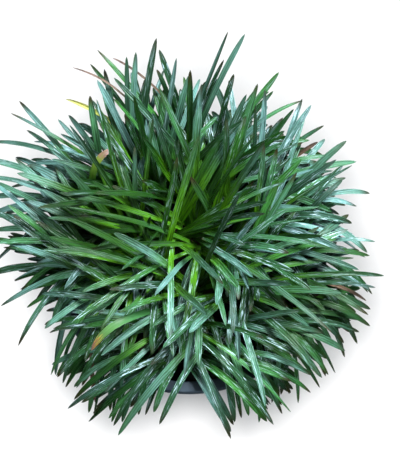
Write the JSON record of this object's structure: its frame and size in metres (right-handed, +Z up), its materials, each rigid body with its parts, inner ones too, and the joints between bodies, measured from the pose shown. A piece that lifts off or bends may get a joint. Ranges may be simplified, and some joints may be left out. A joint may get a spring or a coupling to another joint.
{
  "type": "potted dwarf mondo grass",
  "caption": "Mound of short, arching, dark green strap leaves in tufts, growing in potting mix in a tapered plastic nursery pot.",
  "frame": {"origin": "centre of the pot's flat foot, on the surface that it stands on", "axes": "+Z up, -Y towards the front of the plant, +X to its right"},
  "size_m": [0.2431, 0.2166, 0.227],
  "materials": {
    "pot_plastic": "satin",
    "potting_mix": "matte",
    "green_leaf": "satin",
    "yellow_leaf": "satin",
    "orange_leaf": "satin",
    "dry_leaf": "matte",
    "dry_stalk": "matte"
  },
  "bodies": {
    "root": {"pot": "pot_plastic", "potting_mix": "potting_mix", "tuft_01": "green_leaf", "tuft_02": "green_leaf", "tuft_03": "green_leaf", "tuft_04": "green_leaf", "tuft_05": "green_leaf", "tuft_06": "green_leaf", "tuft_07": "green_leaf", "tuft_08": "green_leaf", "tuft_09": "green_leaf", "tuft_10": "green_leaf", "tuft_11": "green_leaf", "tuft_12": "green_leaf", "tuft_13": "green_leaf", "tuft_14": "green_leaf", "tuft_15": "green_leaf", "tuft_16": "green_leaf", "tuft_17": "green_leaf", "tuft_18": "green_leaf", "tuft_19": "green_leaf", "tuft_20": "green_leaf", "tuft_21": "green_leaf", "tuft_22": "green_leaf", "tuft_23": "green_leaf", "tuft_24": "green_leaf", "tuft_25": "green_leaf", "tuft_26": "green_leaf", "tuft_27": "green_leaf", "tuft_28": "green_leaf", "tuft_29": "green_leaf", "tuft_30": "green_leaf", "tuft_31": "green_leaf", "tuft_32": "green_leaf", "tuft_33": "green_leaf", "tuft_34": "green_leaf", "tuft_35": "green_leaf", "tuft_36": "green_leaf", "yellow_leaf": "yellow_leaf", "orange_leaf": "orange_leaf", "dry_leaf_1": "dry_leaf", "dry_leaf_2": "dry_leaf", "dry_leaf_3": "dry_leaf", "dry_leaf_4": "dry_leaf", "dry_leaf_5": "dry_leaf", "dry_stalk_1": "dry_stalk", "dry_stalk_2": "dry_stalk"}
  },
  "joints": []
}
